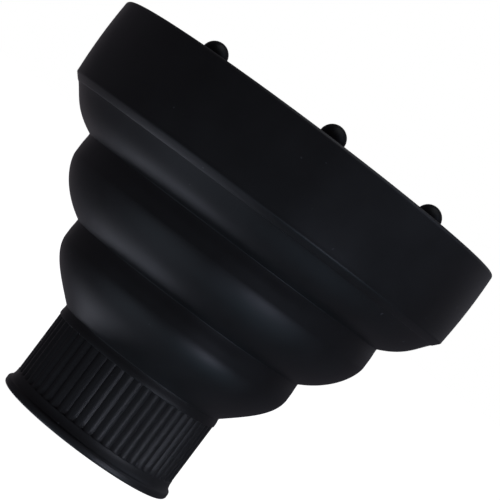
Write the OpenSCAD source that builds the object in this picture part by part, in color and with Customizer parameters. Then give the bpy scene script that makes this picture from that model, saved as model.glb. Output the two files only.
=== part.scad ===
// Collapsible hair dryer diffuser.
// One soft moulding makes the ribbed neck, the stepped bellows and the wide rim.
// A hard perforated face plate sits in a groove inside the rim, and hollow fingers stand through the plate.
// The part stands on its neck. The origin is the centre of the neck's lower face, and +Z is the air's way out.
// Each of the three folds is a curved shoulder with a nearly straight wall above it. A fold closes when its
// shoulder turns inside out, so every wall is a stiff ring, and every shoulder is a node that deforms.

/* [Overall] */
// Outer diameter of the rim
rim_d = 140; // [136:1:146]
// Height of the rim's edge above the neck's lower face
height = 115; // [114:0.5:117]
// Thickness of the bellows wall
skin = 1.8; // [1.4:0.1:2]

/* [Neck] */
// Outer diameter over the ribs
neck_d = 58.3; // [57.5:0.1:58.4]
// Height of the neck
neck_h = 29.7; // [29.2:0.1:29.8]
// Inner diameter of the neck's wall
neck_bore_d = 53.2; // [53:0.1:54]
// Diameter that the grip fins leave free for the dryer's nozzle
grip_d = 47; // [44:0.5:50]
// Number of grip fins round the inside
grip_fins = 4; // [2:1:5]
// Number of ribs round the outside
rib_count = 54; // [40:1:60]
// Height of a rib above the tube
rib_h = 0.6; // [0.3:0.1:0.6]
// Diameter of the lip at the neck's lower end
lip_d = 61.2; // [60.6:0.1:63]

/* [Bellows] */
// Outer diameter of the lower fold's wall
lower_d = 84.6; // [82:0.1:86]
// Outer diameter of the middle fold's wall
middle_d = 110.1; // [107:0.1:112]
// Outer diameter where the upper shoulder meets the rim
upper_d = 134.2; // [132:0.1:134.5]

/* [Face] */
// Thickness of the face plate
plate_t = 2; // [1.6:0.1:2.4]
// Height of the plate's front above the neck's lower face
plate_z = 102; // [101:0.5:103]
// Number of long fingers, and of short ones
finger_count = 6; // [3:1:6]
// Radius of the long fingers' circle
finger_ring_r = 46; // [45:0.5:47]
// Radius of the short fingers' circle
inner_ring_r = 21; // [20:0.5:22]
// Height of the long fingers' tips above the rim's edge
finger_proud = 5.5; // [3:0.5:8]
// Depth of the short fingers' tips below the rim's edge
inner_finger_drop = 2; // [0:0.5:5]
// Diameter of a finger's round tip
tip_d = 8.4; // [7.6:0.2:8.6]

/* [Hidden] */
$fn = 96;

SILICONE = [0.07, 0.075, 0.085];
PLATE_PLASTIC = [0.04, 0.04, 0.045];
FINGER_PLASTIC = [0.02, 0.02, 0.022];

rim_r = rim_d / 2;
far = rim_r + 10;

// Neck
rib_top_r = neck_d / 2;
tube_r = rib_top_r - rib_h;
bore_r = neck_bore_d / 2;
collar_r = rib_top_r + 0.25;
cove_r = rib_top_r + 0.1;
lip_r = lip_d / 2;
lip_z = 2.7;
rib_z0 = 5.6;
rib_turn = 1.9;
collar_z = neck_h - 3;
mouth_r = bore_r + 1;
mouth_z = 1.6;
grip_r = grip_d / 2;
grip_tip = 1.4;
grip_root = 2.6;
grip_z0 = 4;
grip_pitch = 4.8;

// Bellows: heights where the zones meet, from the neck up
lower_z = 47;
lower_top_z = 52.7;
middle_z = 69;
middle_top_z = 75.65;
upper_z = 86.6;
lower_r = lower_d / 2;
middle_r = middle_d / 2;
upper_r = upper_d / 2;
wall_lean = 0.2;
crease_r = 0.3;
cuff_r = collar_r - wall_lean;

// Rim
rim_z = 89.25;
rim_foot_r = rim_r - 0.7;
rim_top_r = rim_r - 0.4;
rim_t = 2.6;
rim_inner_r = rim_foot_r - rim_t + 0.3;
foot_edge_r = 1.1;
foot_step = [0.45, 0.28];
edge_r = 1.2;

// Face plate and its seat in the rim
plate_z0 = plate_z - plate_t;
plate_r = rim_inner_r + 0.8;
shelf_r = rim_inner_r - 3;
shelf_t = 1.8;
web_r = [13.6, 27.9, 39, 53.2];
web_t = 1.4;
web_h = 1.6;
stem_r = 4.4;
finger_foot_r = 5;
flange_r = 6;
flange_t = 1.2;
finger_hollow_r = 2.9;
near_finger_angle = -84;
vent_r = 0.9;

// A cubic curve through two end points with two handles
function curve(a, b, c, d, steps = 12) =
    [for (i = [0:steps]) let (t = i / steps, s = 1 - t)
        s * s * s * a + 3 * s * s * t * b + 3 * s * t * t * c + t * t * t * d];

// An arc round a centre, in degrees from the first axis
function arc(centre, r, from, to, steps = 6) =
    [for (i = [0:steps]) let (angle = from + (to - from) * i / steps) centre + r * [cos(angle), sin(angle)]];

function backwards(points) = [for (i = [len(points) - 1:-1:0]) points[i]];

// The same line moved sideways by d, to the left of its run
function beside(points, d) =
    [for (i = [0:len(points) - 1])
        let (run = points[min(i + 1, len(points) - 1)] - points[max(i - 1, 0)])
            points[i] + d * [-run[1], run[0]] / norm(run)];

// One line after another that starts where it ends
function joined(a, b) = concat(a, [for (i = [1:len(b) - 1]) b[i]]);

// The top of a wall, which leans in a little over its last drop of height, up to the crease
function wall_top(r, z, drop) =
    let (edge = r - wall_lean)
        [for (p = curve([r, z - drop], [r, z - 0.6 * drop], [edge, z - 0.4 * drop], [edge, z], 4))
            if (p[1] < z) p];

// A shoulder's outer line: out of the crease above a wall of radius r, off at an angle, and up to its end
function shoulder(r, z, angle, reach, handle, end) =
    let (centre = [r - wall_lean + crease_r, z], start = centre + crease_r * [-sin(angle), cos(angle)])
        joined(
            arc(centre, crease_r, -180, angle - 270, 3),
            curve(start, start + reach * [cos(angle), sin(angle)], handle, end));

// The outer lines of the three shoulders
lower_line = shoulder(collar_r, neck_h, 42, 8.4, [lower_r, lower_z - 6.1], [lower_r, lower_z]);
middle_line = shoulder(lower_r, lower_top_z, 29.3, 11.8, [middle_r, middle_z - 2.5], [middle_r, middle_z]);
upper_line = shoulder(middle_r, middle_top_z, 24.8, 8.4, [upper_r - 3, upper_z - 3.4], [upper_r, upper_z]);

// The whole bellows and rim in section, from the cuff's outer foot up and back down the inside
bellows_outline = concat(
    [[cuff_r, neck_h - 1]],
    lower_line,
    wall_top(lower_r, lower_top_z, 4),
    middle_line,
    wall_top(middle_r, middle_top_z, 4),
    upper_line,
    [[upper_r, upper_z] + foot_step],
    arc([rim_foot_r - foot_edge_r, rim_z], foot_edge_r, -45, 0),
    curve([rim_foot_r, rim_z + 0.4], [rim_r, rim_z + 9], [rim_r + 0.2, height - 10],
        [rim_top_r, height - edge_r]),
    arc([rim_top_r - edge_r, height - edge_r], edge_r, 0, 90),
    arc([rim_inner_r + 1, height - 1], 1, 90, 180),
    [
        [rim_inner_r, plate_z],
        [plate_r, plate_z],
        [plate_r, plate_z0],
        [shelf_r, plate_z0],
        [shelf_r, plate_z0 - shelf_t],
        [rim_inner_r, plate_z0 - shelf_t - 2.4],
        [rim_inner_r, rim_z + 0.6]
    ],
    backwards(beside(upper_line, skin)),
    [[middle_r - skin, middle_top_z - 1.2], [middle_r - skin, middle_z + 1]],
    backwards(beside(middle_line, skin)),
    [[lower_r - skin, lower_top_z - 1.2], [lower_r - skin, lower_z + 1]],
    backwards(beside(lower_line, skin)),
    [[cuff_r - skin, neck_h - 1]]
);

// One zone of the bellows, between two heights
module bellows_zone(z0, z1) {
    color(SILICONE)
        rotate_extrude()
            intersection() {
                polygon(bellows_outline);
                translate([0, z0]) square([far, z1 - z0]);
            }
}

module lower_shoulder() { bellows_zone(neck_h, lower_z); }

module lower_wall() { bellows_zone(lower_z, lower_top_z); }

module middle_shoulder() { bellows_zone(lower_top_z, middle_z); }

module middle_wall() { bellows_zone(middle_z, middle_top_z); }

module upper_shoulder() { bellows_zone(middle_top_z, upper_z); }

module rim_shell() { bellows_zone(upper_z, height + 1); }

// The neck's wall in section, with its lip, its collar and the fins that grip a nozzle
neck_outline = concat(
    [[mouth_r, 0]],
    arc([lip_r - 0.9, 0.9], 0.9, -90, 0),
    arc([lip_r - 0.9, lip_z - 0.9], 0.9, 0, 70),
    curve([lip_r - 0.8, lip_z + 0.2], [cove_r + 0.3, lip_z + 0.7], [cove_r, rib_z0 - 1.6],
        [cove_r, rib_z0], 6),
    [[tube_r, rib_z0 + 0.5]],
    [[tube_r, collar_z], [collar_r - 0.2, collar_z], [collar_r, collar_z + 0.2]],
    wall_top(collar_r, neck_h, 2.2),
    [[cuff_r, neck_h], [cuff_r - skin, neck_h], [bore_r, neck_h - 0.6]],
    [for (i = [grip_fins - 1:-1:0], corner = [
        [bore_r, grip_root / 2], [grip_r, grip_tip / 2], [grip_r, -grip_tip / 2], [bore_r, -grip_root / 2]
    ]) corner + [0, grip_z0 + i * grip_pitch]],
    [[bore_r, mouth_z]]
);

// Ribs that run up the neck, from the cove above the lip to just inside the collar
module neck_ribs() {
    foot_w = 0.85 * PI * neck_d / rib_count;
    top_w = foot_w / 3;
    for (i = [0:rib_count - 1])
        rotate([0, 0, i * 360 / rib_count + rib_turn])
            translate([0, 0, rib_z0 - 0.6])
                linear_extrude(collar_z - rib_z0 + 1)
                    polygon([
                        [tube_r - 0.5, -foot_w / 2], [tube_r, -foot_w / 2], [rib_top_r, -top_w / 2],
                        [rib_top_r, top_w / 2], [tube_r, foot_w / 2], [tube_r - 0.5, foot_w / 2]
                    ]);
}

module neck() {
    color(SILICONE) {
        rotate_extrude() polygon(neck_outline);
        neck_ribs();
    }
}

function finger_angle(i) = near_finger_angle + i * 360 / finger_count;

function inner_finger_angle(i) = finger_angle(i) + 180 / finger_count;

// Air holes: ring radius, hole radius, and the places in the span from one finger to the next, from 0 to 1
hole_rows = [
    [9.5, 2.6, [1 / 2]],
    [inner_ring_r, 2.6, [0]],
    [33, 2.8, [0, 1 / 3, 2 / 3]],
    [finger_ring_r, 2.4, [1 / 4, 1 / 2, 3 / 4]],
    [58, 2.4, [1 / 12, 3 / 12, 5 / 12, 7 / 12, 9 / 12, 11 / 12]]
];

// A round hole through the plate and its webs
module plate_hole(angle, ring_r, hole_r) {
    rotate([0, 0, angle])
        translate([ring_r, 0, plate_z0 - web_h - 1]) cylinder(h = plate_t + web_h + 2, r = hole_r, $fn = 48);
}

// A ring that stiffens the plate from behind
module plate_web(r) {
    rotate_extrude()
        translate([r - web_t / 2, plate_z0 - web_h]) square([web_t, web_h + 0.5]);
}

// The perforated plate that closes the rim
module face_plate() {
    color(PLATE_PLASTIC)
        difference() {
            union() {
                translate([0, 0, plate_z0]) cylinder(h = plate_t, r = plate_r);
                for (r = web_r) plate_web(r);
            }
            plate_hole(0, 0, 2.6);
            for (i = [0:finger_count - 1]) {
                plate_hole(finger_angle(i), finger_ring_r, stem_r);
                plate_hole(inner_finger_angle(i), inner_ring_r, stem_r);
                for (row = hole_rows, place = row[2])
                    plate_hole(finger_angle(i + place), row[0], row[1]);
            }
        }
}

// A hollow finger with its flange under the plate and its tip at the height top
module finger(top) {
    tip_r = tip_d / 2;
    hollow_top = top - 2 - finger_hollow_r;
    color(FINGER_PLASTIC)
        difference() {
            rotate_extrude($fn = 48)
                polygon(concat(
                    [
                        [0, plate_z0 - flange_t], [flange_r, plate_z0 - flange_t], [flange_r, plate_z0],
                        [stem_r, plate_z0], [stem_r, plate_z], [finger_foot_r, plate_z],
                        [finger_foot_r, plate_z + 0.8]
                    ],
                    arc([0, top - tip_r], tip_r, 0, 90, 10)
                ));
            rotate_extrude($fn = 48)
                polygon(concat(
                    [[0, plate_z0 - flange_t - 1], [finger_hollow_r, plate_z0 - flange_t - 1]],
                    arc([0, hollow_top], finger_hollow_r, 0, 90, 8)
                ));
            for (side = [0:2])
                rotate([0, 0, side * 120])
                    translate([0, 0, plate_z + 4.6])
                        rotate([0, 90, 0]) cylinder(h = finger_foot_r + 1, r = vent_r, $fn = 24);
        }
}

module long_finger(i) {
    if (i < finger_count)
        rotate([0, 0, finger_angle(i)]) translate([finger_ring_r, 0, 0]) finger(height + finger_proud);
}

module short_finger(i) {
    if (i < finger_count)
        rotate([0, 0, inner_finger_angle(i)])
            translate([inner_ring_r, 0, 0]) finger(height - inner_finger_drop);
}

neck();
lower_shoulder();
lower_wall();
middle_shoulder();
middle_wall();
upper_shoulder();
rim_shell();
face_plate();
long_finger(0);  // finger_1
long_finger(1);  // finger_2
long_finger(2);  // finger_3
long_finger(3);  // finger_4
long_finger(4);  // finger_5
long_finger(5);  // finger_6
short_finger(0);  // inner_finger_1
short_finger(1);  // inner_finger_2
short_finger(2);  // inner_finger_3
short_finger(3);  // inner_finger_4
short_finger(4);  // inner_finger_5
short_finger(5);  // inner_finger_6
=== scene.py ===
"""Looks of the collapsible dryer diffuser: soft body, face plate, fingers, materials, lights and camera."""
import math

import bpy
import bmesh
from mathutils import Matrix, Vector


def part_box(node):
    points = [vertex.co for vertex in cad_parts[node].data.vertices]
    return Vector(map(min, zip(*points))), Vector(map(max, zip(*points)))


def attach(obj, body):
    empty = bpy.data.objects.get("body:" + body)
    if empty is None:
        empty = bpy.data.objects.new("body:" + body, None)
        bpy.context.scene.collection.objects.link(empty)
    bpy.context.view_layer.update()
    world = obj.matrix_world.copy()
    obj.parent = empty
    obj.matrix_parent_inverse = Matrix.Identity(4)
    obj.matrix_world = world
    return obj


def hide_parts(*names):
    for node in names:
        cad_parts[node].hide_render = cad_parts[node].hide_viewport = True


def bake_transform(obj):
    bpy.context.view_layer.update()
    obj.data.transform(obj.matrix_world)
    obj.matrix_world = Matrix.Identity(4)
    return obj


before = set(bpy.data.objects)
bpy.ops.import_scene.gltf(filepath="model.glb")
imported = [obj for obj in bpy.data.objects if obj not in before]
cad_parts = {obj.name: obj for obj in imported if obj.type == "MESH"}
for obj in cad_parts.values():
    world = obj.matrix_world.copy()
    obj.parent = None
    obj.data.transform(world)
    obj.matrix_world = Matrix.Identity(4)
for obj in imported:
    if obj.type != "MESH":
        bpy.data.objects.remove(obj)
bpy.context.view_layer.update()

MM = 0.001


def low(node, axis):
    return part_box(node)[0][axis] / MM


def high(node, axis):
    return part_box(node)[1][axis] / MM


# ---- Sizes in mm, read from the frame ----
LIP_R = high("neck", 0)
NECK_H = high("neck", 2)
LOWER_Z = low("lower_wall", 2)
LOWER_TOP_Z = high("lower_wall", 2)
MIDDLE_Z = low("middle_wall", 2)
MIDDLE_TOP_Z = high("middle_wall", 2)
UPPER_Z = low("rim_shell", 2)
UPPER_R = high("upper_shoulder", 0)
RIM_R = high("rim_shell", 0)
HEIGHT = high("rim_shell", 2)
PLATE_R = high("face_plate", 0)
PLATE_Z = high("face_plate", 2)
FINGER_TOP = high("finger_1", 2)
INNER_FINGER_TOP = high("inner_finger_1", 2)

# ---- Sizes in mm that the frame's boxes don't give, as in the part's source ----
SKIN = 1.8
LOWER_R = 42.3
MIDDLE_R = 55.05
WALL_LEAN = 0.2
WALL_LEAN_DROP = 4
CREASE_R = 0.3
COLLAR_R = 29.4
COLLAR_LEAN_DROP = 2.2
COLLAR_EDGE_R = 0.2
COVE_R = 29.25
RIB_TOP_R = 29.15
GROOVE_DEPTH = 0.6
GROOVE_RUN_IN = 0.5
GROOVE_POWER = 1.8
RIB_COUNT = 54
RIB_TURN = 1.9
BORE_R = 26.6
MOUTH_R = 27.6
MOUTH_Z = 1.6
GRIP_R = 23.5
GRIP_HEIGHTS = (4.0, 8.8, 13.6, 18.4)
GRIP_TIP = 1.4
GRIP_ROOT = 2.6
GRIP_ROOT_R = 0.5
LIP_Z = 2.7
LIP_EDGE_R = 0.9
RIB_Z = 5.6
COLLAR_Z = NECK_H - 3
RIM_Z = 89.25
RIM_FOOT_R = 69.3
RIM_TOP_R = 69.6
FOOT_EDGE_R = 1.1
FOOT_STEP = (0.45, 0.28)
RIM_INNER_R = 67.0
EDGE_R = 1.2
INNER_EDGE_R = 1
SHELF_R = 64.0
SHELF_T = 1.8
SHELF_EDGE_R = 0.5
SMALL_EDGE_R = 0.3
PLATE_T = 2.0
PLATE_BACK_Z = PLATE_Z - PLATE_T
WEB_T = 1.4
WEB_H = 1.6
WEB_RADII = (13.6, 27.9, 39.0, 53.2)
FINGER_RING_R = 46.0
INNER_RING_R = 21.0
INNER_PLACE = 0.5        # the inner fingers stand half-way between the long ones
NEAR_FINGER_ANGLE = -84.0
FINGER_COUNT = 6
TIP_R = 4.2
STEM_R = 4.4
FOOT_R = 5.0
FLANGE_R = 6.0
FLANGE_T = 1.2
HOLLOW_R = 2.9
VENT_R = 0.9
VENT_Z = PLATE_Z + 4.6
VENT_COUNT = 3
CENTRE_HOLE_R = 2.6
HOLE_ROWS = (            # radius of the row, radius of its holes, their places between two fingers
    (9.5, 2.6, (1 / 2,)),
    (INNER_RING_R, 2.6, (0,)),
    (33.0, 2.8, (0, 1 / 3, 2 / 3)),
    (FINGER_RING_R, 2.4, (1 / 4, 1 / 2, 3 / 4)),
    (58.0, 2.4, (1 / 12, 3 / 12, 5 / 12, 7 / 12, 9 / 12, 11 / 12)),
)

COLUMNS = 240            # round the large rings
RIB_COLUMNS = 14         # for each rib and its gap
LINE_STEPS = 72          # along a shoulder
RIB_ROWS = 14            # along a rib
QUARTER_HANDLE = 0.5523  # handle of a quarter circle of radius 1


# ---- Outlines: lists of (radius, height) in mm ----
def curve(a, b, c, d, steps=12):
    """A cubic curve through two end points with two handles."""
    points = []
    for i in range(steps + 1):
        t = i / steps
        s = 1 - t
        weights = (s ** 3, 3 * s * s * t, 3 * s * t * t, t ** 3)
        points.append(tuple(sum(w * p[k] for w, p in zip(weights, (a, b, c, d))) for k in (0, 1)))
    return points


def arc(centre, radius, start, end, steps=8):
    """An arc round a centre, in degrees from the radial axis."""
    points = []
    for i in range(steps + 1):
        angle = math.radians(start + (end - start) * i / steps)
        points.append((centre[0] + radius * math.cos(angle), centre[1] + radius * math.sin(angle)))
    return points


def straight(a, b, steps):
    """Points from a up to, but without, b."""
    return [(a[0] + (b[0] - a[0]) * i / steps, a[1] + (b[1] - a[1]) * i / steps) for i in range(steps)]


def inward(line, distance):
    """The point that lies beside the line's first point, on its left."""
    run = Vector(line[1]) - Vector(line[0])
    run.normalize()
    return (line[0][0] - run.y * distance, line[0][1] + run.x * distance)


def wall_top(radius, z, drop):
    """The top of a wall, which leans in a little over its last drop of height, up to the crease."""
    edge = radius - WALL_LEAN
    return curve((radius, z - drop), (radius, z - drop * 0.6), (edge, z - drop * 0.4), (edge, z), 10)


def shoulder(radius, z, angle, reach, handle, end):
    """A shoulder's outer line: out of the crease above a wall, off at an angle, and up to its outer end."""
    crease = arc((radius - WALL_LEAN + CREASE_R, z), CREASE_R, -180, angle - 270, 5)
    out = math.radians(angle)
    start = crease[-1]
    lead = (start[0] + reach * math.cos(out), start[1] + reach * math.sin(out))
    return crease[:-1] + curve(start, lead, handle, end, LINE_STEPS)


lower_line = shoulder(COLLAR_R, NECK_H, 42, 8.4, (LOWER_R, LOWER_Z - 6.1), (LOWER_R, LOWER_Z))
middle_line = shoulder(LOWER_R, LOWER_TOP_Z, 29.3, 11.8, (MIDDLE_R, MIDDLE_Z - 2.5), (MIDDLE_R, MIDDLE_Z))
upper_line = shoulder(MIDDLE_R, MIDDLE_TOP_Z, 24.8, 8.4, (UPPER_R - 3, UPPER_Z - 3.4), (UPPER_R, UPPER_Z))


# ---- Meshes ----
def finish_mesh(name, bm, smooth_angle=40):
    """Turns a bmesh in mm into an object in metres, smooth but for its sharp and open edges.

    An open sheet keeps its faces as they are wound, because there is no inside to turn them away from."""
    if all(edge.is_manifold for edge in bm.edges):
        bmesh.ops.recalc_face_normals(bm, faces=bm.faces)
    bm.transform(Matrix.Scale(MM, 4))
    for face in bm.faces:
        face.smooth = True
    limit = math.radians(smooth_angle)
    for edge in bm.edges:
        edge.smooth = len(edge.link_faces) == 2 and edge.calc_face_angle() < limit
    mesh = bpy.data.meshes.new(name)
    bm.to_mesh(mesh)
    bm.free()
    piece = bpy.data.objects.new(name, mesh)
    bpy.context.scene.collection.objects.link(piece)
    return piece


def lathe(name, outline, columns=COLUMNS, closed=True, reach=None, smooth_angle=40):
    """Turns an outline round the Z axis. reach(index, angle) adds to the radius of an outline point."""
    bm = bmesh.new()
    rings = []
    for i, (radius, z) in enumerate(outline):
        if radius < 1e-6:
            rings.append([bm.verts.new((0, 0, z))])
            continue
        ring = []
        for j in range(columns):
            angle = 2 * math.pi * j / columns
            r = radius + (reach(i, angle) if reach else 0)
            ring.append(bm.verts.new((r * math.cos(angle), r * math.sin(angle), z)))
        rings.append(ring)
    pairs = list(zip(rings, rings[1:]))
    if closed:
        pairs.append((rings[-1], rings[0]))
    for below, above in pairs:
        for j in range(columns):
            k = (j + 1) % columns
            if len(below) == 1:
                bm.faces.new((below[0], above[k], above[j]))
            elif len(above) == 1:
                bm.faces.new((below[j], below[k], above[0]))
            else:
                bm.faces.new((below[j], below[k], above[k], above[j]))
    return finish_mesh(name, bm, smooth_angle)


def shade_by_angle(piece, degrees, level_flats=False):
    """Smooth shading but for edges sharper than the angle. Level faces can be kept flat to their outlines."""
    bm = bmesh.new()
    bm.from_mesh(piece.data)
    bmesh.ops.remove_doubles(bm, verts=bm.verts, dist=1e-6)
    for face in bm.faces:
        face.smooth = True
    for edge in bm.edges:
        angle = edge.calc_face_angle() if len(edge.link_faces) == 2 else math.pi
        level = level_flats and any(abs(face.normal.z) > 0.999 for face in edge.link_faces)
        edge.smooth = angle < math.radians(1 if level else degrees)
    bm.to_mesh(piece.data)
    bm.free()


def thicken(piece):
    """Gives a sheet the soft body's thickness, on its inner side."""
    solid = piece.modifiers.new("skin", "SOLIDIFY")
    solid.thickness = SKIN * MM
    solid.offset = -1
    solid.use_even_offset = True
    solid.use_rim = True


# ---- Soft body ----
def smooth_step(x):
    """Goes from 0 to 1 with level ends."""
    x = min(max(x, 0), 1)
    return x * x * (3 - 2 * x)


def build_neck():
    """The ribbed neck, with its lip, its collar and the fins that grip a nozzle."""
    lip_edge = LIP_R - LIP_EDGE_R
    outer = arc((lip_edge, LIP_EDGE_R), LIP_EDGE_R, -90, 0)
    outer += arc((lip_edge, LIP_Z - LIP_EDGE_R), LIP_EDGE_R, 0, 70)
    outer += curve((LIP_R - 0.8, LIP_Z + 0.2), (COVE_R + 0.3, LIP_Z + 0.7), (COVE_R, RIB_Z - 1.6),
                   (COVE_R, RIB_Z), 16)
    outer += [(RIB_TOP_R, RIB_Z + 0.15), (RIB_TOP_R, RIB_Z + 0.3)]
    outer += straight((RIB_TOP_R, RIB_Z + 0.5), (RIB_TOP_R, COLLAR_Z), RIB_ROWS)
    outer += [(RIB_TOP_R, COLLAR_Z), (RIB_TOP_R + 0.1, COLLAR_Z + 0.02)]
    outer += arc((COLLAR_R - COLLAR_EDGE_R, COLLAR_Z + 0.02 + COLLAR_EDGE_R), COLLAR_EDGE_R, -80, 0, 6)
    outer += wall_top(COLLAR_R, NECK_H, COLLAR_LEAN_DROP)
    inner = [inward(lower_line, SKIN), (BORE_R, NECK_H - 0.6)]
    for centre in reversed(GRIP_HEIGHTS):
        root = GRIP_ROOT / 2 + GRIP_ROOT_R
        tip = GRIP_TIP / 2 - SMALL_EDGE_R
        inner += arc((BORE_R - GRIP_ROOT_R, centre + root), GRIP_ROOT_R, 0, -80, 4)
        inner += arc((GRIP_R + SMALL_EDGE_R, centre + tip), SMALL_EDGE_R, 100, 180, 4)
        inner += arc((GRIP_R + SMALL_EDGE_R, centre - tip), SMALL_EDGE_R, 180, 260, 4)
        inner += arc((BORE_R - GRIP_ROOT_R, centre - root), GRIP_ROOT_R, 80, 0, 4)
    inner += [(BORE_R, MOUTH_Z + 0.3)]
    inner += curve((BORE_R, MOUTH_Z), (BORE_R, 0.8), (MOUTH_R - 0.6, 0), (MOUTH_R, 0), 5)
    outline = outer + inner

    def groove(index, angle):
        """How far the surface sinks between two ribs, which run from the lip's cove up to the collar."""
        z = outline[index][1]
        if index >= len(outer) or z < RIB_Z or z > COLLAR_Z:
            return 0
        along = smooth_step((z - RIB_Z) / GROOVE_RUN_IN)
        turn = ((angle - math.radians(RIB_TURN)) * RIB_COUNT / (2 * math.pi)) % 1
        return -GROOVE_DEPTH * along * (min(turn, 1 - turn) * 2) ** GROOVE_POWER

    return lathe("neck_soft", outline, RIB_COUNT * RIB_COLUMNS, reach=groove, smooth_angle=50)


def build_wall(name, radius, z0, z1, next_line):
    """A stiff ring between two shoulders."""
    outer = straight((radius, z0), (radius, z1 - WALL_LEAN_DROP), 4) + wall_top(radius, z1, WALL_LEAN_DROP)
    inside = radius - SKIN
    corner = inward(next_line, SKIN)
    inner = curve(corner, (corner[0], z1 - 0.7), (inside, z1 - 0.6), (inside, z1 - 1.4), 6)
    inner += [(inside, z0 + (z1 - z0) * 0.4), (inside, z0)]
    return lathe(name, outer + inner)


def build_shoulder(name, line):
    """A shoulder as one sheet, thickened after it has bent so that it keeps its thickness when it folds."""
    piece = lathe(name, line, closed=False, smooth_angle=180)
    thicken(piece)
    return piece


def build_rim():
    """The wide rim, from the chamfer at its foot to the groove that holds the face plate."""
    outer = [(UPPER_R, UPPER_Z), (UPPER_R + FOOT_STEP[0], UPPER_Z + FOOT_STEP[1])]
    outer += arc((RIM_FOOT_R - FOOT_EDGE_R, RIM_Z), FOOT_EDGE_R, -45, 0, 12)
    outer += curve((RIM_FOOT_R, RIM_Z + 0.4), (RIM_R, RIM_Z + 9), (RIM_R + 0.1, HEIGHT - 10),
                   (RIM_TOP_R, HEIGHT - EDGE_R), 40)
    outer += arc((RIM_TOP_R - EDGE_R, HEIGHT - EDGE_R), EDGE_R, 6, 90, 10)
    inner = arc((RIM_INNER_R + INNER_EDGE_R, HEIGHT - INNER_EDGE_R), INNER_EDGE_R, 90, 180, 8)
    inner += [(RIM_INNER_R, HEIGHT - 4), (RIM_INNER_R, PLATE_Z + 3)]
    inner += arc((RIM_INNER_R + SMALL_EDGE_R, PLATE_Z + SMALL_EDGE_R), SMALL_EDGE_R, 180, 270, 4)
    inner += [(PLATE_R, PLATE_Z), (PLATE_R, PLATE_BACK_Z)]
    shelf_z = PLATE_BACK_Z - SHELF_T
    inner += arc((SHELF_R + SHELF_EDGE_R, PLATE_BACK_Z - SHELF_EDGE_R), SHELF_EDGE_R, 90, 180, 4)
    inner += arc((SHELF_R + SHELF_EDGE_R, shelf_z + SHELF_EDGE_R), SHELF_EDGE_R, 180, 270, 4)
    inner += curve((SHELF_R + 1, shelf_z), (RIM_INNER_R - 0.5, shelf_z - 0.2), (RIM_INNER_R, shelf_z - 1),
                   (RIM_INNER_R, shelf_z - 2.4), 8)
    inner += [(RIM_INNER_R, RIM_Z + 3)]
    inside = (UPPER_R - SKIN, UPPER_Z)
    inner += curve((RIM_INNER_R, RIM_Z + 0.6), (RIM_INNER_R, RIM_Z - 0.6), (inside[0] + 0.8, UPPER_Z + 1.2),
                   inside, 8)
    return lathe("rim_soft", outer + inner, smooth_angle=45)


# ---- Face plate and fingers ----
def finger_angle(place):
    """The angle of a place on a ring, counted in fingers from the near one."""
    return math.radians(NEAR_FINGER_ANGLE + place * 360 / FINGER_COUNT)


def circle_spline(data, centre_x, centre_y, radius):
    """A closed round spline of four curve points, drawn on a flat curve."""
    spline = data.splines.new("BEZIER")
    spline.bezier_points.add(3)
    spline.use_cyclic_u = True
    handle = radius * QUARTER_HANDLE
    for i, point in enumerate(spline.bezier_points):
        angle = math.pi / 2 * i
        out = Vector((math.cos(angle), math.sin(angle), 0))
        along = Vector((-out.y, out.x, 0))
        place = Vector((centre_x, centre_y, 0)) + out * radius
        point.co = place * MM
        point.handle_left = (place - along * handle) * MM
        point.handle_right = (place + along * handle) * MM
        point.handle_left_type = point.handle_right_type = "FREE"


def curve_to_piece(name, source):
    """Turns a curve object into a mesh piece and drops the curve."""
    bpy.context.view_layer.update()
    evaluated = source.evaluated_get(bpy.context.evaluated_depsgraph_get())
    mesh = bpy.data.meshes.new_from_object(evaluated)
    mesh.name = name
    bpy.data.objects.remove(source)
    piece = bpy.data.objects.new(name, mesh)
    bpy.context.scene.collection.objects.link(piece)
    return piece


def build_plate():
    """The perforated plate with softened hole edges."""
    softening = 0.25
    data = bpy.data.curves.new("plate_outline", "CURVE")
    data.dimensions = "2D"
    data.fill_mode = "BOTH"
    data.resolution_u = 40
    circle_spline(data, 0, 0, PLATE_R)
    holes = [(0, 0, CENTRE_HOLE_R)]
    for i in range(FINGER_COUNT):
        for ring, place in ((FINGER_RING_R, i), (INNER_RING_R, i + INNER_PLACE)):
            angle = finger_angle(place)
            holes.append((ring * math.cos(angle), ring * math.sin(angle), STEM_R))
        for ring, radius, places in HOLE_ROWS:
            for place in places:
                angle = finger_angle(i + place)
                holes.append((ring * math.cos(angle), ring * math.sin(angle), radius))
    for x, y, radius in holes:
        circle_spline(data, x, y, radius)
    for spline in data.splines[1:]:
        spline.resolution_u = 9
    data.offset = -softening * MM
    data.bevel_depth = softening * MM
    data.bevel_resolution = 2
    data.extrude = (PLATE_T / 2 - softening) * MM
    source = bpy.data.objects.new("plate_outline", data)
    bpy.context.scene.collection.objects.link(source)
    plate = curve_to_piece("face_plate_detail", source)
    plate.data.transform(Matrix.Translation((0, 0, (PLATE_Z - PLATE_T / 2) * MM)))
    shade_by_angle(plate, 30, level_flats=True)
    return plate


def build_webs():
    """The rings that stiffen the plate from behind."""
    webs = []
    for number, radius in enumerate(WEB_RADII, 1):
        half = WEB_T / 2
        bottom = PLATE_BACK_Z - WEB_H
        outline = [(radius + half, PLATE_BACK_Z), (radius - half, PLATE_BACK_Z)]
        outline += arc((radius - half + SMALL_EDGE_R, bottom + SMALL_EDGE_R), SMALL_EDGE_R, 180, 270, 4)
        outline += arc((radius + half - SMALL_EDGE_R, bottom + SMALL_EDGE_R), SMALL_EDGE_R, 270, 360, 4)
        webs.append(lathe(f"plate_web_{number}", outline, 160))
    return webs


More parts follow.
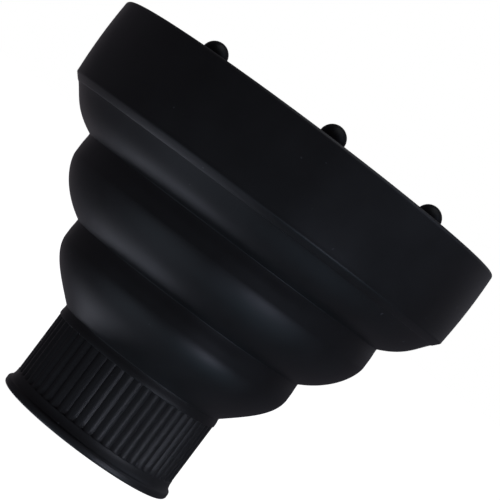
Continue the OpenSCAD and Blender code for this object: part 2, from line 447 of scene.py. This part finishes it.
def finger_mesh(name, top):
    """One hollow finger on the Z axis, with three vents near its foot."""
    outline = arc((0, top - 2 - HOLLOW_R), HOLLOW_R, 90, 0, 10)
    outline += [(HOLLOW_R, PLATE_Z + 2), (HOLLOW_R, PLATE_BACK_Z)]
    flange_z = PLATE_BACK_Z - FLANGE_T + SMALL_EDGE_R
    outline += arc((HOLLOW_R + SMALL_EDGE_R, flange_z), SMALL_EDGE_R, 180, 270, 4)
    outline += arc((FLANGE_R - SMALL_EDGE_R, flange_z), SMALL_EDGE_R, 270, 360, 4)
    outline += [(FLANGE_R, PLATE_BACK_Z), (STEM_R, PLATE_BACK_Z), (STEM_R, PLATE_Z), (FOOT_R + 0.6, PLATE_Z)]
    tip_centre = (0, top - TIP_R)
    outline += curve((FOOT_R + 0.55, PLATE_Z + 0.15), (FOOT_R + 0.1, PLATE_Z + 0.3),
                     (FOOT_R - 0.05, PLATE_Z + 0.8), (FOOT_R - 0.1, PLATE_Z + 2), 8)
    outline += straight((FOOT_R - 0.12, PLATE_Z + 2.4), (TIP_R, tip_centre[1]), 10)
    outline += arc(tip_centre, TIP_R, 0, 90, 16)
    body = lathe(name, outline, 48, closed=False)
    cutters = []
    for i in range(VENT_COUNT):
        bpy.ops.mesh.primitive_cylinder_add(vertices=24, radius=VENT_R * MM, depth=8 * MM)
        cutter = bpy.context.object
        turn = Matrix.Rotation(math.radians(360 / VENT_COUNT * i), 4, "Z")
        place = Matrix.Translation((STEM_R * MM, 0, VENT_Z * MM))
        cutter.matrix_world = turn @ place @ Matrix.Rotation(math.pi / 2, 4, "Y")
        cutters.append(cutter)
        cut = body.modifiers.new("vent", "BOOLEAN")
        cut.operation = "DIFFERENCE"
        cut.solver = "EXACT"
        cut.object = cutter
    bpy.context.view_layer.update()
    mesh = bpy.data.meshes.new_from_object(body.evaluated_get(bpy.context.evaluated_depsgraph_get()))
    for spare in cutters + [body]:
        bpy.data.objects.remove(spare)
    mesh.name = name
    return mesh


# ---- Materials ----
def new_material(name):
    """An empty node material with a principled shader wired to its output."""
    material = bpy.data.materials.new(name)
    material.use_nodes = True
    nodes = material.node_tree.nodes
    nodes.clear()
    output = nodes.new("ShaderNodeOutputMaterial")
    shader = nodes.new("ShaderNodeBsdfPrincipled")
    material.node_tree.links.new(shader.outputs["BSDF"], output.inputs["Surface"])
    return material, shader


def add_noise(tree, scale, detail=2.0, roughness=0.5):
    """Noise in the object's own coordinates. Scale is in waves per metre."""
    place = tree.nodes.new("ShaderNodeTexCoord")
    noise = tree.nodes.new("ShaderNodeTexNoise")
    noise.inputs["Scale"].default_value = scale
    noise.inputs["Detail"].default_value = detail
    noise.inputs["Roughness"].default_value = roughness
    tree.links.new(place.outputs["Object"], noise.inputs["Vector"])
    return noise.outputs["Fac"]


def add_ramp(tree, source, stops):
    """Maps a value to colours or greys. stops is a list of (position, grey or colour)."""
    ramp = tree.nodes.new("ShaderNodeValToRGB")
    elements = ramp.color_ramp.elements
    while len(elements) < len(stops):
        elements.new(0.5)
    for element, (position, tone) in zip(elements, stops):
        element.position = position
        element.color = (*tone, 1) if isinstance(tone, tuple) else (tone, tone, tone, 1)
    tree.links.new(source, ramp.inputs["Fac"])
    return ramp.outputs["Color"]


def add_bump(tree, height, strength, distance, normal=None):
    """A bump from a height, on top of another bump if there is one. Distance is in mm."""
    bump = tree.nodes.new("ShaderNodeBump")
    bump.inputs["Strength"].default_value = strength
    bump.inputs["Distance"].default_value = distance * MM
    tree.links.new(height, bump.inputs["Height"])
    if normal is not None:
        tree.links.new(normal, bump.inputs["Normal"])
    return bump.outputs["Normal"]


def mix_colour(tree, factor, source, plain):
    """Mixes a colour with a plain one by a factor. The node's colour sockets are inputs 6, 7 and output 2."""
    mix = tree.nodes.new("ShaderNodeMix")
    mix.data_type = "RGBA"
    tree.links.new(factor, mix.inputs[0])
    tree.links.new(source, mix.inputs[6])
    mix.inputs[7].default_value = (*plain, 1)
    return mix.outputs[2]


def silicone():
    """Matt black silicone rubber: a fine satin grain, faint mottling, and a few clinging specks of dust."""
    material, shader = new_material("black_silicone")
    tree = material.node_tree
    mottle = add_noise(tree, 90, 3.0, 0.55)
    colour = add_ramp(tree, mottle, [(0.3, (0.0100, 0.0100, 0.0102)), (0.7, (0.0140, 0.0140, 0.0143))])
    dust = add_noise(tree, 620, 1.0, 0.4)
    speck = add_ramp(tree, dust, [(0.79, 0.0), (0.83, 1.0)])
    colour = mix_colour(tree, speck, colour, (0.06, 0.06, 0.065))
    tree.links.new(colour, shader.inputs["Base Color"])
    finish = add_noise(tree, 45, 4.0, 0.6)
    tree.links.new(add_ramp(tree, finish, [(0.3, 0.41), (0.7, 0.49)]), shader.inputs["Roughness"])
    grain = add_noise(tree, 2600, 2.0, 0.6)
    normal = add_bump(tree, grain, 0.22, 0.05)
    wave = add_noise(tree, 55, 1.0, 0.4)
    normal = add_bump(tree, wave, 0.25, 0.25, normal)
    tree.links.new(normal, shader.inputs["Normal"])
    shader.inputs["IOR"].default_value = 1.43
    return material


def hard_plastic(name, dark, light, rough, grain_scale, grain_strength, specular):
    """Black moulded plastic with a spark-eroded grain and slight changes of gloss."""
    material, shader = new_material(name)
    tree = material.node_tree
    mottle = add_noise(tree, 130, 3.0, 0.5)
    tree.links.new(add_ramp(tree, mottle, [(0.3, dark), (0.7, light)]), shader.inputs["Base Color"])
    gloss = add_noise(tree, 70, 3.0, 0.6)
    finish = add_ramp(tree, gloss, [(0.3, rough - 0.05), (0.7, rough + 0.05)])
    tree.links.new(finish, shader.inputs["Roughness"])
    grain = add_noise(tree, grain_scale, 2.0, 0.6)
    tree.links.new(add_bump(tree, grain, grain_strength, 0.05), shader.inputs["Normal"])
    shader.inputs["IOR"].default_value = 1.49
    shader.inputs["Specular IOR Level"].default_value = specular
    return material


def dress(piece, material):
    """Gives a piece its material."""
    piece.data.materials.clear()
    piece.data.materials.append(material)


# ---- Build the object ----
def place_fingers(mesh, names, ring, first_place, material):
    """Copies one finger mesh round a ring, each copy standing for its CAD node."""
    for i, node in enumerate(names):
        angle = finger_angle(i + first_place)
        piece = bpy.data.objects.new(node + "_detail", mesh.copy())
        bpy.context.scene.collection.objects.link(piece)
        turn = Matrix.Rotation(angle, 4, "Z") @ Matrix.Translation((ring * MM, 0, 0))
        piece.data.transform(turn)
        shade_by_angle(piece, 35)
        dress(piece, material)
        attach(piece, "rim_body")
        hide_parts(node)


SILICONE = silicone()
PLATE_PLASTIC = hard_plastic("plate_plastic", (0.0060, 0.0062, 0.0068), (0.0085, 0.0088, 0.0096),
                             rough=0.42, grain_scale=1900, grain_strength=0.35, specular=0.5)
FINGER_PLASTIC = hard_plastic("finger_plastic", (0.0025, 0.0025, 0.0026), (0.0038, 0.0038, 0.0040),
                              rough=0.45, grain_scale=2400, grain_strength=0.12, specular=0.17)

rigid = (
    (build_neck(), "neck", "neck_body"),
    (build_wall("lower_wall_soft", LOWER_R, LOWER_Z, LOWER_TOP_Z, middle_line), "lower_wall", "lower_ring"),
    (build_wall("middle_wall_soft", MIDDLE_R, MIDDLE_Z, MIDDLE_TOP_Z, upper_line),
     "middle_wall", "middle_ring"),
    (build_rim(), "rim_shell", "rim_body"),
)
for piece, node, body in rigid:
    dress(piece, SILICONE)
    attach(piece, body)
    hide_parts(node)

folding = (
    (build_shoulder("lower_shoulder_soft", lower_line), "lower_shoulder", "neck_body", "lower_ring"),
    (build_shoulder("middle_shoulder_soft", middle_line), "middle_shoulder", "lower_ring", "middle_ring"),
    (build_shoulder("upper_shoulder_soft", upper_line), "upper_shoulder", "middle_ring", "rim_body"),
)
for piece, node, below, above in folding:
    dress(piece, SILICONE)
    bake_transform(piece)
    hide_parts(node)

plate = build_plate()
dress(plate, PLATE_PLASTIC)
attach(plate, "rim_body")
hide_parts("face_plate")
for web in build_webs():
    dress(web, PLATE_PLASTIC)
    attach(web, "rim_body")

long_names = [f"finger_{i}" for i in range(1, FINGER_COUNT + 1)]
short_names = [f"inner_finger_{i}" for i in range(1, FINGER_COUNT + 1)]
place_fingers(finger_mesh("long_finger", FINGER_TOP), long_names, FINGER_RING_R, 0, FINGER_PLASTIC)
place_fingers(finger_mesh("short_finger", INNER_FINGER_TOP), short_names, INNER_RING_R, INNER_PLACE,
              FINGER_PLASTIC)


# ---- Floor, light and camera ----
AIM = Vector((0, 0, 60 * MM))
LIGHT_DISTANCE = 1.2
DIM_COLOUR = (0.91, 0.84, 1.0, 1)
DIM_STRENGTH = 0.077
SOFT_BOXES = (           # name, direction from the aim point, size in m, power in W, colour
    ("low_back_left", (-0.226, 0.289, -0.930), 0.35, 0.85, (0.76, 0.82, 1.0)),
    ("back_left", (-0.358, 0.510, -0.782), 0.35, 0.68, (0.83, 0.86, 1.0)),
    ("front_right", (0.576, -0.677, -0.459), 0.35, 1.88, (0.78, 0.78, 1.0)),
    ("front_right_fill", (0.564, -0.532, -0.632), 1.0, 1.5, (0.42, 0.77, 1.0)),
    ("front_left", (-0.505, -0.514, -0.693), 1.0, 1.87, (0.69, 0.83, 1.0)),
    ("rim_right", (0.760, -0.162, 0.629), 0.8, 1.52, (0.67, 0.77, 1.0)),
    ("rim_back", (0.474, 0.821, 0.319), 0.8, 0.275, (0.87, 0.9, 1.0)),
    ("rim_back_left", (-0.25, 0.96, -0.08), 0.8, 0.26, (1.0, 0.9, 0.95)),
    ("top_fill", (0.15, -0.10, 1.0), 1.0, 3.0, (0.88, 0.93, 1.0)),
)
NECK_FOOT = Vector((17 * MM, -23 * MM, 3 * MM))

CAMERA_DISTANCE = 590.7
CAMERA_HEIGHT = 80.9
CAMERA_RIGHT = 5.64
CAMERA_AIM_Z = 76.83
FOCAL_LENGTH = 138.67
ROLL = 36.96


def build_floor():
    """A plain pale floor that the object's surfaces don't mirror."""
    bpy.ops.mesh.primitive_plane_add(size=60, location=(0, 0, 0))
    floor = bpy.context.object
    floor.name = "floor"
    material, shader = new_material("pale_floor")
    shader.inputs["Base Color"].default_value = (0.5, 0.5, 0.5, 1)
    shader.inputs["Roughness"].default_value = 1.0
    shader.inputs["Emission Color"].default_value = (1, 1, 1, 1)
    shader.inputs["Emission Strength"].default_value = 1.0
    floor.data.materials.append(material)
    floor.visible_diffuse = False
    floor.visible_glossy = False
    floor.visible_shadow = False


def build_world():
    """A white backdrop for the camera, and a dim even light for everything else."""
    world = bpy.data.worlds.new("studio")
    world.use_nodes = True
    tree = world.node_tree
    tree.nodes.clear()
    output = tree.nodes.new("ShaderNodeOutputWorld")
    mix = tree.nodes.new("ShaderNodeMixShader")
    path = tree.nodes.new("ShaderNodeLightPath")
    dim = tree.nodes.new("ShaderNodeBackground")
    dim.inputs["Color"].default_value = DIM_COLOUR
    dim.inputs["Strength"].default_value = DIM_STRENGTH
    white = tree.nodes.new("ShaderNodeBackground")
    white.inputs["Color"].default_value = (1, 1, 1, 1)
    white.inputs["Strength"].default_value = 1.0
    tree.links.new(path.outputs["Is Camera Ray"], mix.inputs["Fac"])
    tree.links.new(dim.outputs["Background"], mix.inputs[1])
    tree.links.new(white.outputs["Background"], mix.inputs[2])
    tree.links.new(mix.outputs["Shader"], output.inputs["Surface"])
    bpy.context.scene.world = world


def area_light(name, direction, distance, size, power, colour, aim=AIM):
    """A square soft box that looks at a point from a direction."""
    data = bpy.data.lights.new(name, "AREA")
    data.shape = "SQUARE"
    data.size = size
    data.energy = power
    data.color = colour
    lamp = bpy.data.objects.new(name, data)
    bpy.context.scene.collection.objects.link(lamp)
    lamp.location = aim + Vector(direction).normalized() * distance
    lamp.rotation_euler = (aim - lamp.location).to_track_quat("-Z", "Y").to_euler()
    lamp.visible_camera = False
    return lamp


def build_camera():
    """A long lens level with the bowl, rolled so that the object leans as it does in the reference view."""
    data = bpy.data.cameras.new("camera")
    data.sensor_width = 36
    data.lens = FOCAL_LENGTH
    data.clip_start = 0.01
    data.clip_end = 100
    camera = bpy.data.objects.new("camera", data)
    bpy.context.scene.collection.objects.link(camera)
    camera.location = Vector((0, -CAMERA_DISTANCE, CAMERA_HEIGHT)) * MM
    target = Vector((CAMERA_RIGHT, 0, CAMERA_AIM_Z)) * MM
    look = (target - camera.location).to_track_quat("-Z", "Y").to_matrix().to_4x4()
    roll = Matrix.Rotation(math.radians(ROLL), 4, "Z")
    camera.matrix_world = Matrix.Translation(camera.location) @ look @ roll
    bpy.context.scene.camera = camera


build_floor()
build_world()
for name, direction, size, power, colour in SOFT_BOXES:
    area_light(name, direction, LIGHT_DISTANCE, size, power, colour)
gridded = area_light("neck_right", (0.66, -0.72, -0.30), distance=0.13, size=0.05, power=0.0015,
                     colour=(0.85, 0.87, 1.0), aim=NECK_FOOT)
gridded.data.spread = math.radians(25)
build_camera()
bpy.context.scene.view_settings.view_transform = "Standard"
